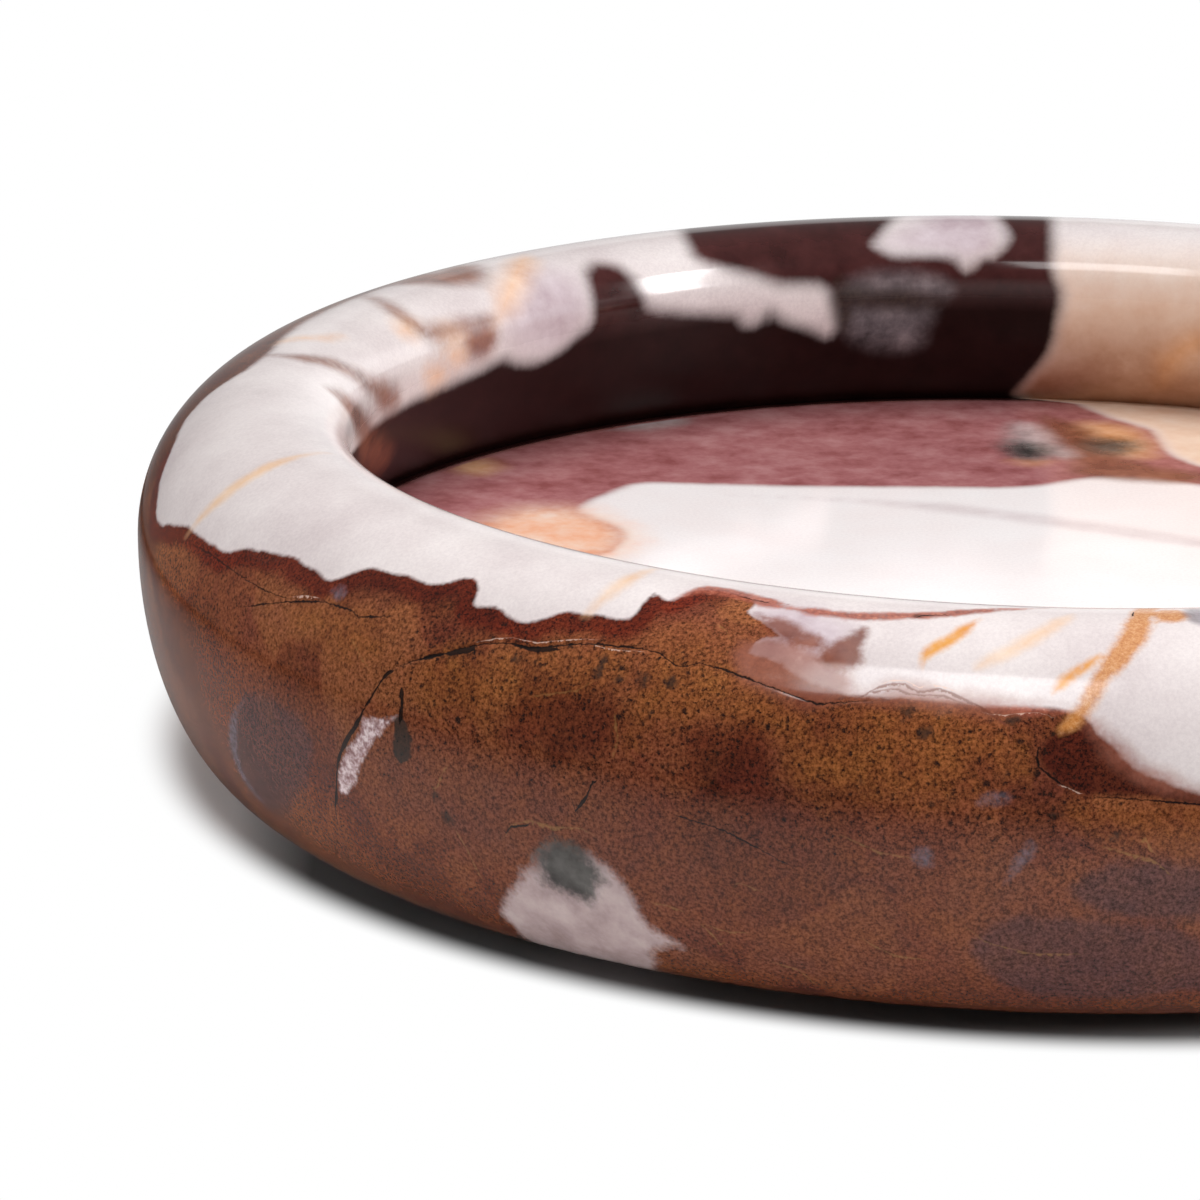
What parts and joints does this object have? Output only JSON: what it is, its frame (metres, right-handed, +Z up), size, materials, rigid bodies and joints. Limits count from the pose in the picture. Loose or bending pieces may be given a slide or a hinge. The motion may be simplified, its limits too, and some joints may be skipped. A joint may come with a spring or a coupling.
{
  "type": "ring dish",
  "caption": "Shallow round dish of polished brown-and-white stone with a thick rounded rim and an undercut hollow, on clear bumper feet, for rings and small things.",
  "frame": {"origin": "on the table under the centre of the dish", "axes": "+Z up along the axis of the dish, +X to the right and +Y away from the viewer of the picture"},
  "size_m": [0.1, 0.1, 0.0212],
  "materials": {
    "polished_stone": "polished",
    "clear_bumper": "clear, moulded"
  },
  "bodies": {
    "root": {"stone_dish": "polished_stone", "bumper_foot_1": "clear_bumper", "bumper_foot_2": "clear_bumper", "bumper_foot_3": "clear_bumper", "bumper_foot_4": "clear_bumper"}
  },
  "joints": []
}
